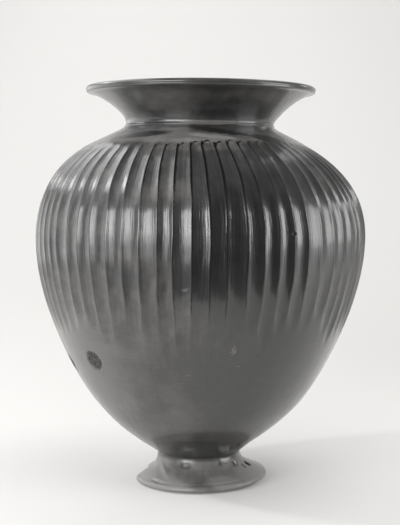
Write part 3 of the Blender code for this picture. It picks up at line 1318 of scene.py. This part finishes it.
    def _press_marks(
        self, turn: np.ndarray, along: np.ndarray, points: np.ndarray
    ) -> tuple[np.ndarray, np.ndarray, np.ndarray]:
        """Work out what the marks do at every point.

        Args:
            turn: the points' flutes.
            along: their distances along the outline.
            points: the points before the marks.

        Returns:
            How deep each point goes, how bare the clay is there and how much paler.
        """
        depth, bare, pale = np.zeros((3, len(turn)))
        for mark in self.marks:
            reach, across = self._local(mark, turn, along)
            near = np.nonzero(reach < 1.8)[0]
            reach, across = reach[near], across[near]
            ragged = noise_at(points[near], self.ragged_scale)
            if mark.kind is MarkKind.SPALL:
                inside = smooth_step((1.0 - reach + 0.16 * ragged) / 0.16)
                rough = noise_at(points[near], self.rough_scale)
                depth[near] += mark.depth * inside * (0.75 + 1.1 * rough)
                bare[near] = np.maximum(bare[near], inside)
            elif mark.kind is MarkKind.SCUFF:
                inside = smooth_step((1.0 - reach + 0.3 * ragged) / 0.7)
                depth[near] += mark.depth * inside
                pale[near] = np.maximum(pale[near], inside)
            elif mark.kind is MarkKind.FACET:
                depth[near] += mark.depth * smooth_step(1.0 - reach / 1.6)
            elif mark.kind is MarkKind.GROOVE:
                depth[near] += mark.depth * smooth_step(1.0 - reach)
            elif mark.kind is MarkKind.EDGE:
                beside = np.clip(np.abs(across), 0.0, 1.0)
                depth[near] += mark.depth * 4.0 * beside * (1.0 - beside) * smooth_step(1.3 - reach)
            else:
                inside = np.clip(1.0 - reach, 0.0, 1.0) ** 0.7
                depth[near] += mark.depth * inside
                # Driven up to 1.4, this paints shade into a cut or a pit, in the darkest colour
                bare[near] = np.maximum(bare[near], 1.4 * smooth_step(inside * 2.0))
        return depth, bare, pale

    @staticmethod
    def _clouded(clouds: tuple[Cloud, ...], azimuth: np.ndarray, height: np.ndarray) -> np.ndarray:
        """Work out how strongly some clouds cover places.

        Args:
            clouds: the clouds.
            azimuth: the places' azimuths.
            height: the places' heights.

        Returns:
            The clouds' strengths, added together.
        """
        cover = np.zeros(len(azimuth))
        for cloud in clouds:
            sideways = half_turn(azimuth - cloud.azimuth_deg)
            upwards = height - cloud.height - cloud.turn * sideways
            reach = np.hypot(sideways / cloud.half_width_deg, upwards / cloud.half_height)
            cover += cloud.strength * smooth_step((1.0 - reach) / cloud.softness + 0.5)
        return cover

    def _tone_flutes(self, mesh: bpy.types.Mesh, turn: np.ndarray, depth: np.ndarray) -> None:
        """Give the faces of each flute one random number, and the plain faces none.

        Args:
            mesh: the net.
            turn: the points' flutes.
            depth: how deep the points' flutes are.
        """
        draw = random.Random(self.flutes.seed)
        tones = [draw.random() for _ in range(self.flutes.count)]
        values = np.zeros(len(mesh.polygons))
        for polygon in mesh.polygons:
            corners = turn[list(polygon.vertices)]
            number = int(corners.mean()) if np.ptp(corners) < 1.0 else self.flutes.count - 1
            if depth[polygon.vertices[0]] > 0.0:
                values[polygon.index] = tones[number]
        carry(mesh, "flute_tone", values, domain="FACE")

    def build(self, material: bpy.types.Material) -> bpy.types.Object:
        """Build the whole jar.

        Args:
            material: the clay.

        Returns:
            The finished object, at the origin, with its place in its mesh.
        """
        s = self.outline.sizes
        net = self.blank()
        self.refine(net)
        mesh = bpy.data.meshes.new("jar")
        net.to_mesh(mesh)
        net.free()
        turn, along = np.empty((2, len(mesh.vertices)), dtype=np.float32)
        mesh.attributes["turn"].data.foreach_get("value", turn)
        mesh.attributes["along"].data.foreach_get("value", along)
        turn, along = turn.astype(float), along.astype(float)

        # The wall in its place, with its marks and waves
        outside = along > self.travelled[np.argmax(self.line[:, 1])]
        radius, height = self._spot(along)
        azimuth = self.flutes.azimuth(turn, height)
        smooth = self.hand.place(radius, height, azimuth)
        depth, bare, pale = self._press_marks(turn, along, smooth)
        depth = depth * outside + self.hand.waves(smooth, height)
        out_radius = np.interp(along, self.travelled, self.normals[:, 0])
        out_height = np.interp(along, self.travelled, self.normals[:, 1])
        points = self.hand.place(radius - depth * out_radius, height - depth * out_height, azimuth)
        mesh.vertices.foreach_set("co", points.astype(np.float32).ravel())

        # What the node trees read at each point
        belly = s.belly_diameter / 2
        fluted = outside & (height < s.ridge_level) & (height > s.stem_level)
        number = self.flutes.number(turn)
        pressed_depth = self.flutes.depths[number] * self.flutes.pressure(turn, height)
        flute_depth = np.where(fluted, pressed_depth * radius / belly, 0.0)
        for name, values in (
            ("height", height),
            ("flute_top", self.flutes.tops[number]),
            ("flute_end", self.flutes.ends[number]),
            ("flute_depth", flute_depth),
            ("bare", bare * outside),
            ("pale", pale * outside),
            # The clouds' tone is soot, with some painted light and painted shade
            ("soot_and_painted_light", self._clouded(self.clouds, azimuth, height) * outside),
            # The dull layer also holds the foot's left facet, painted paler as a lit side
            ("dull_and_painted_light", self._clouded(self.dull_and_painted_light_places, azimuth, height) * outside),
            # Painted shade in the flutes' creases, by their left edges and round their tops
            ("crease", self.crease_shade.cover(self.flutes, turn, height, azimuth) * fluted),
        ):
            carry(mesh, name, values)
        angle = math.tau * turn / self.flutes.count
        wrapped = np.stack([belly * np.cos(angle), belly * np.sin(angle), along], axis=1)
        carry(mesh, "wrapped", wrapped, kind="FLOAT_VECTOR")
        self._tone_flutes(mesh, turn, flute_depth)
        mesh.shade_smooth()

        smooth_jar = add_object("jar", mesh)
        pressed = FlutePress(self.flutes).press(smooth_jar, material)
        bpy.data.objects.remove(smooth_jar, do_unlink=True)
        bpy.data.meshes.remove(mesh)
        for name in ("turn", "along", "height", "flute_top", "flute_end", "flute_depth"):
            pressed.attributes.remove(pressed.attributes[name])
        pressed.name = "fluted_jar"
        return add_object("fluted_jar", pressed)


@dataclass(frozen=True)
class BurnishedClay:
    """Impasto: coarse dark clay, rubbed with a smooth stone before firing, fired black.

    The rubbing gives a skin that shines and mirrors softly, with the strokes still to be
    seen, over a body that is brown-black and clouded by the smoke of the firing.

    Attributes:
        deep: the colour where the smoke reached best, and the painted shade in cuts, pits and the
            pores of a break.
        body: the colour of most of the wall.
        worn: the colour where the skin is thin.
        bare: the colour of the rough clay in a break.
        rubbed: the colour of a scuffed place.
        dusty: the colour of a dull place, and of the foot's left facet painted paler as a lit side.
        crease_shade: the colour of the painted shade in the creases.
        roughness: of the clay under the skin.
        break_roughness: of the clay in a break.
        clay_ior: the refraction of the clay.
        skin: how much of the surface the rubbed skin covers.
        skin_roughness: of the skin.
        skin_ior: the refraction of the skin, high as it is dense.
        cloud_mm: the size of the smoke clouds.
        patch_mm: the size of the blotches inside one flute.
        stroke_mm: the width of a burnishing stroke.
        stroke_run_mm: the length over which a stroke changes.
        stroke_height_mm: how high the strokes stand, drawn higher than real to show.
        grain_mm: the size of the temper grains that show through, drawn coarse enough to show.
        grain_height_mm: how high the grains stand.
    """

    deep: str = "#161616"
    body: str = "#313030"
    worn: str = "#575654"
    bare: str = "#504e4b"
    rubbed: str = "#777471"
    dusty: str = "#868482"
    crease_shade: str = "#0b0b0b"
    roughness: float = 0.40
    break_roughness: float = 0.85
    clay_ior: float = 1.5
    skin: float = 0.88
    skin_roughness: float = 0.145
    skin_ior: float = 1.62
    cloud_mm: float = 75.0
    patch_mm: float = 26.0
    stroke_mm: float = 4.2
    stroke_run_mm: float = 110.0
    stroke_height_mm: float = 0.9
    grain_mm: float = 2.4
    grain_height_mm: float = 0.3

    def material(self) -> bpy.types.Material:
        """Build the material's nodes.

        Returns:
            The material, its patterns laid out in object coordinates and along the flutes.
        """
        material = bpy.data.materials.new("burnished_impasto")
        material.use_nodes = True
        tree = material.node_tree
        tree.nodes.clear()
        carried = {
            name: add_node(tree, "ShaderNodeAttribute", attribute_name=name).outputs["Fac"]
            for name in ("pressed", "flute_tone", "soot_and_painted_light", "bare", "pale", "crease", "dull_and_painted_light")
        }
        strokes, blotches, clouds, grain = self._patterns(tree, carried)

        # How dark the smoke left each place, with the painted light and shade of some clouds, about
        # 0.25 at its palest and 0.9 at its darkest
        tone = add_node(tree, MATH, (carried["soot_and_painted_light"], 0.30, -0.02), operation="MULTIPLY_ADD")
        flute = carried["flute_tone"]
        for part, share in ((clouds, 0.48), (blotches, 0.34), (strokes, 0.20), (flute, 0.06)):
            tone = add_node(tree, MATH, (part, share, tone), operation="MULTIPLY_ADD")
        colour, lost = self._colour(tree, carried, tone, grain)

        low, high = self.roughness - 0.06, self.roughness + 0.08
        rough = add_node(tree, RANGE, (blotches, 0.3, 0.7, low, high))
        rough_bare = add_node(
            tree, MIX, {"Factor": carried["bare"], "A": rough, "B": self.break_roughness}
        )
        rubbed = add_node(tree, RANGE, (tone, 0.35, 0.75, self.skin * 0.75, self.skin * 1.12))
        skin = add_node(tree, MIX, {"Factor": lost, "A": rubbed, "B": 0.0})
        firmness = add_node(tree, RANGE, (carried["pressed"], 0.0, 0.3, 0.15, 0.85))
        stroke_bump = add_node(
            tree,
            "ShaderNodeBump",
            {"Strength": firmness, "Distance": self.stroke_height_mm / 1000, "Height": strokes},
        )
        grain_bump = add_node(
            tree,
            "ShaderNodeBump",
            {
                "Strength": 0.14,
                "Distance": self.grain_height_mm / 1000,
                "Height": grain,
                "Normal": stroke_bump,
            },
        )
        shader = add_node(
            tree,
            "ShaderNodeBsdfPrincipled",
            {
                "Base Color": colour,
                "Roughness": rough_bare,
                "IOR": self.clay_ior,
                "Coat Weight": skin,
                "Coat Roughness": self.skin_roughness,
                "Coat IOR": self.skin_ior,
                "Normal": grain_bump,
                "Coat Normal": stroke_bump,
            },
        )
        add_node(tree, "ShaderNodeOutputMaterial", {"Surface": shader})
        return material

    def _patterns(
        self, tree: bpy.types.NodeTree, carried: dict[str, bpy.types.NodeSocket]
    ) -> tuple[bpy.types.Node, ...]:
        """Lay out the patterns of the finish.

        Args:
            tree: the material's tree.
            carried: the numbers that the mesh carries.

        Returns:
            The burnishing strokes, the blotches, the smoke clouds and the grain, 0 to 1.
        """
        place = add_node(tree, "ShaderNodeTexCoord").outputs["Object"]
        wrapped = add_node(tree, "ShaderNodeAttribute", attribute_name="wrapped").outputs["Vector"]
        fine, slow = 1000 / self.stroke_mm, 1000 / self.stroke_run_mm
        level_run, upright_run = [
            add_node(tree, "ShaderNodeVectorMath", (wrapped, scale), operation="MULTIPLY")
            for scale in ((slow, slow, fine), (fine, fine, slow))
        ]
        # Each flute has its own stretch of the blotches, so that they stop at its edges
        flute_place = add_node(
            tree,
            "ShaderNodeVectorMath",
            ((5.0, 3.0, 4.0), carried["flute_tone"], wrapped),
            operation="MULTIPLY_ADD",
        )
        level, upright, clouds, patches, grain = [
            add_node(
                tree,
                "ShaderNodeTexNoise",
                {"Vector": vector, "Scale": scale, "Detail": detail, "Roughness": roughness},
            )
            for vector, scale, detail, roughness in (
                (level_run, 1.0, 3.0, 0.6),
                (upright_run, 1.0, 3.0, 0.6),
                (place, 1000 / self.cloud_mm, 4.0, 0.6),
                (flute_place, 1000 / self.patch_mm, 4.0, 0.62),
                (place, 1000 / self.grain_mm, 2.0, 0.6),
            )
        ]
        # The strokes run along the flutes, and fainter and level on the plain wall
        in_flute = add_node(tree, RANGE, (carried["pressed"], 0.02, 0.25))
        calm = add_node(tree, MIX, {"Factor": 0.6, "A": 0.5, "B": level})
        strokes = add_node(tree, MIX, {"Factor": in_flute, "A": calm, "B": upright})
        strength = add_node(tree, RANGE, (in_flute, 0.0, 1.0, 0.35, 1.0))
        blotches = add_node(tree, MIX, {"Factor": strength, "A": 0.5, "B": patches})
        return strokes, blotches, clouds, grain

    def _colour(
        self,
        tree: bpy.types.NodeTree,
        carried: dict[str, bpy.types.NodeSocket],
        tone: bpy.types.Node,
        grain: bpy.types.Node,
    ) -> tuple[bpy.types.NodeSocket, bpy.types.Node]:
        """Colour the clay, with its grains, rubbed places and breaks, and painted shade in its
        creases, cuts and pits.

        Args:
            tree: the material's tree.
            carried: the numbers that the mesh carries.
            tone: how dark the smoke left each place.
            grain: the grains' pattern.

        Returns:
            The colour, and the share where the skin is lost.
        """
        ramp = add_node(tree, "ShaderNodeValToRGB", {"Fac": tone})
        stops = ramp.color_ramp.elements
        stops.new(0.54)
        for stop, (position, colour) in zip(
            stops, ((0.32, self.worn), (0.54, self.body), (0.80, self.deep))
        ):
            stop.position = position
            stop.color = linear(colour)

        # A place is less dull where the clay is dark
        darker = add_node(tree, MATH, (tone, -2.2, 1.95), operation="MULTIPLY_ADD")
        dull_and_painted_light_share = add_node(tree, MATH, (carried["dull_and_painted_light"], darker), operation="MULTIPLY")
        dull_and_painted_light = add_node(tree, RANGE, (dull_and_painted_light_share, 0.25, 1.0, 0.0, 0.85))
        speckled = add_node(tree, RANGE, (grain, 0.66, 0.80, 0.0, 0.4))
        # Painted shade in the creases, near black, frayed by the grain and without shine
        frayed = add_node(tree, MATH, (grain, 0.9, carried["crease"]), operation="MULTIPLY_ADD")
        crease_shaded = add_node(tree, RANGE, (frayed, 0.85, 1.0))
        scuffed = add_node(tree, MATH, (carried["pale"], grain), operation="MULTIPLY")
        scraped = add_node(tree, RANGE, (scuffed, 0.36, 0.56, 0.0, 0.7))
        # Painted shade in cuts and pits and in the pores of a break, in the darkest colour
        holes = add_node(tree, MATH, (carried["bare"], grain), operation="SUBTRACT")
        pit_shade = add_node(tree, RANGE, (holes, 0.47, 0.58, 0.0, 0.85))
        colour = ramp.outputs[0]
        for share, over in (
            (dull_and_painted_light, self.dusty),
            (speckled, self.worn),
            (crease_shaded, self.crease_shade),
            (scraped, self.rubbed),
            (carried["bare"], self.bare),
            (pit_shade, self.deep),
        ):
            mixed = {"Factor": share, 6: colour, 7: linear(over)}
            colour = add_node(tree, MIX, mixed, data_type="RGBA").outputs[2]
        lost = carried["bare"]
        for share in (scraped, crease_shaded, dull_and_painted_light):
            lost = add_node(tree, MATH, (lost, share), operation="MAXIMUM")
        return colour, lost


@dataclass(frozen=True)
class MattFinish:
    """A plain matt finish of the studio, such as uncoated paper or painted boards.

    Nothing is mirrored in it, so the eye sees one even tone that only the light changes.

    Attributes:
        name: the material's name.
        colour: its colour.
        roughness: how matt it is.
        specular: how much it mirrors, 0.5 for most materials and less for soft paper.
        glow: how much light comes through it from behind.
    """

    name: str
    colour: str
    roughness: float
    specular: float = 0.5
    glow: float = 0.0

    def material(self) -> bpy.types.Material:
        """Build the material.

        Returns:
            The material, with constant values only.
        """
        material = bpy.data.materials.new(self.name)
        material.use_nodes = True
        shader = material.node_tree.nodes["Principled BSDF"]
        for name, value in (
            ("Base Color", linear(self.colour)),
            ("Roughness", self.roughness),
            ("Specular IOR Level", self.specular),
            ("Emission Color", WHITE),
            ("Emission Strength", self.glow),
        ):
            shader.inputs[name].default_value = value
        return material


@dataclass(frozen=True)
class SoftLamp:
    """A large soft lamp that faces the jar.

    Attributes:
        name: the lamp's name.
        azimuth_deg: where it stands, from the camera's side, positive to the right.
        elevation_deg: how high its middle stands, seen from the jar's middle.
        width: its width.
        height: its height.
        radiance: how bright its face is, where the paper in the picture is about 0.9.
        distance: how far from the jar's middle it stands.
        aim: the place that its face looks at, or the jar's middle where there is none.
        mirrored: whether the rubbed skin shows its image.
    """

    name: str
    azimuth_deg: float
    elevation_deg: float
    width: float
    height: float
    radiance: float
    distance: float = 2.3
    aim: tuple[float, float, float] | None = None
    mirrored: bool = True

    def build(self, middle: Vector) -> bpy.types.Object:
        """Make the lamp and turn it to what it lights.

        Args:
            middle: the jar's middle.

        Returns:
            The lamp.
        """
        azimuth = math.radians(self.azimuth_deg)
        elevation = math.radians(self.elevation_deg)
        level = self.distance * math.cos(elevation)
        rise = self.distance * math.sin(elevation)
        data = bpy.data.lights.new(self.name, "AREA")
        data.shape = "RECTANGLE"
        data.size = self.width
        data.size_y = self.height
        data.energy = self.radiance * math.pi * data.size * data.size_y
        lamp = add_object(self.name, data)
        away = Vector((level * math.sin(azimuth), -level * math.cos(azimuth), rise))
        lamp.location = middle + away
        aim = Vector(self.aim) if self.aim else middle
        lamp.rotation_euler = (aim - lamp.location).to_track_quat("-Z", "Y").to_euler()
        lamp.visible_glossy = self.mirrored
        return lamp


@dataclass
class Studio:
    """The plain pale studio: paper that sweeps up into a backdrop, lamps and a dim room.

    Attributes:
        paper: the paper's finish.
        boards: the finish of the room's floor.
        room: the brightness of the dim room behind the camera.
        middle: the height of the jar's middle, which the lamps face.
        front: how far in front of the jar the paper ends.
        turn: how far behind the jar it starts to bend up.
        bend: the radius of the bend.
        bend_steps: the number of flat strips that the bend is made of.
        high: the height of the paper's top.
        half_width: half the paper's width.
        reach: half the width of the room's floor.
        drop: how far that floor lies below the paper.
        lamps: the soft lamps.
    """

    paper: MattFinish = MattFinish("matt_paper", "#bdbcba", 0.9, 0.1, 0.165)
    boards: MattFinish = MattFinish("painted_boards", "#3a3938", 0.7)
    room: float = 0.08
    middle: float = 0.42
    front: float = 0.85
    turn: float = 0.8
    bend: float = 2.0
    bend_steps: int = 16
    high: float = 4.2
    half_width: float = 5.0
    reach: float = 7.0
    drop: float = 0.002
    lamps: tuple[SoftLamp, ...] = (
        SoftLamp("window_left", -33.5, 17.8, 1.40, 0.86, 7.2),
        SoftLamp("window_left_low", -34.5, 3.8, 1.45, 0.30, 4.5),
        SoftLamp("window_left_edge", -56.0, 14.0, 0.45, 1.00, 1.5),
        SoftLamp("window_left_sill", -36.0, -5.0, 1.60, 0.42, 2.2),
        SoftLamp("window_right", 76.0, 11.0, 1.36, 1.20, 4.6),
        SoftLamp("window_right_sill", 76.5, -6.5, 1.40, 0.26, 1.3),
        SoftLamp("lamp_left", -109.0, 32.0, 0.60, 0.38, 8.2),
        SoftLamp("lamp_right", 120.0, 20.0, 0.60, 0.35, 3.6),
        SoftLamp("key", -90.0, 37.0, 0.20, 0.20, 175.0, mirrored=False),
        SoftLamp("fill_right", 105.0, 62.0, 1.20, 1.20, 3.9, 1.9, (0.8, -0.1, 0.0), False),
        SoftLamp("fill_top", 12.0, 56.0, 2.00, 1.20, 2.9, 2.4, (0.4, -0.35, 0.0), False),
        SoftLamp("wall_left", -116.0, 5.0, 3.20, 1.15, 1.35),
        SoftLamp("ceiling_left", -108.0, 48.0, 3.60, 1.20, 1.6),
        SoftLamp("ceiling", 180.0, 61.0, 2.70, 0.95, 1.4, 2.5),
        SoftLamp("backdrop_light", 165.0, 60.0, 3.40, 0.80, 3.6, 2.0, (0.9, 2.8, 2.5)),
    )

    @staticmethod
    def _sheet(
        name: str, line: list[Point], half_width: float, finish: MattFinish
    ) -> bpy.types.Object:
        """Build one sheet that is level from left to right.

        Args:
            name: its name.
            line: what it follows from front to back, as rows of (y, z).
            half_width: half its width.
            finish: its finish.

        Returns:
            The sheet.
        """
        mesh = bpy.data.meshes.new(name)
        verts = [(side * half_width, y, z) for y, z in line for side in (-1, 1)]
        faces = [(2 * i, 2 * i + 1, 2 * i + 3, 2 * i + 2) for i in range(len(line) - 1)]
        mesh.from_pydata(verts, [], faces)
        mesh.shade_smooth()
        mesh.materials.append(finish.material())
        return add_object(name, mesh)

    def sweep(self) -> bpy.types.Object:
        """Build the floor and backdrop as one bent sheet of matt paper.

        Returns:
            The sheet.
        """
        line = [(-self.front, 0.0), (self.turn, 0.0)]
        for step in range(1, self.bend_steps + 1):
            angle = math.radians(90.0 * step / self.bend_steps)
            rise = self.bend - self.bend * math.cos(angle)
            line.append((self.turn + self.bend * math.sin(angle), rise))
        line.append((self.turn + self.bend, self.high))
        return self._sheet("paper_sweep", line, self.half_width, self.paper)

    def ground(self) -> bpy.types.Object:
        """Build the room's dark floor, which the paper lies on.

        Returns:
            The floor.
        """
        line = [(-self.reach, -self.drop), (self.reach, -self.drop)]
        return self._sheet("room_floor", line, self.reach, self.boards)

    def build(self) -> list[bpy.types.Object]:
        """Build the paper, the dim room and the lamps.

        Returns:
            The stage pieces.
        """
        sheet = self.sweep()
        world = bpy.data.worlds.new("room")
        world.use_nodes = True
        background = world.node_tree.nodes["Background"]
        background.inputs["Color"].default_value = WHITE
        background.inputs["Strength"].default_value = self.room
        bpy.context.scene.world = world
        bpy.context.scene.view_settings.view_transform = "Standard"
        middle = Vector((0.0, 0.0, self.middle))
        for lamp in self.lamps:
            lamp.build(middle)
        return [sheet, self.ground()]


@dataclass(frozen=True)
class Viewpoint:
    """Where the picture was taken from.

    Attributes:
        distance: how far in front of the jar's axis the lens stands.
        eye_level: its height above the floor.
        sideways: how far it stands to the right.
        pitch_deg: how far it looks down.
        focal_px: its focal length in picture pixels.
        sensor: the long side of the film, in millimetres.
    """

    distance: float = 2.1753
    eye_level: float = 0.5737
    sideways: float = -0.0008
    pitch_deg: float = 4.1147
    focal_px: float = 1132.92
    sensor: float = 36.0

    def build(self) -> bpy.types.Object:
        """Make the camera.

        Returns:
            The camera.
        """
        data = bpy.data.cameras.new("camera")
        data.sensor_width = self.sensor
        data.lens = self.focal_px / PICTURE_LONG_SIDE * self.sensor
        camera = add_object("camera", data)
        camera.location = (self.sideways, -self.distance, self.eye_level)
        camera.rotation_euler = (math.radians(90.0 - self.pitch_deg), 0.0, 0.0)
        return camera


def main() -> None:
    """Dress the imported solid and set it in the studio."""
    logging.basicConfig(level=logging.INFO, format="%(name)s: %(message)s")
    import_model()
    bpy.context.scene.camera = Viewpoint().build()
    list(Studio().build())

    sizes = JarSizes()
    jar_maker = Jar(Outline(sizes), Flutes(sizes), HandWork(sizes))
    jar = jar_maker.build(BurnishedClay().material())
    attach(jar, BODY)
    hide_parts(NODE)
    jar.data.calc_loop_triangles()
    LOG.info("%s: %d triangles", jar.name, len(jar.data.loop_triangles))


if __name__ == "__main__":
    main()
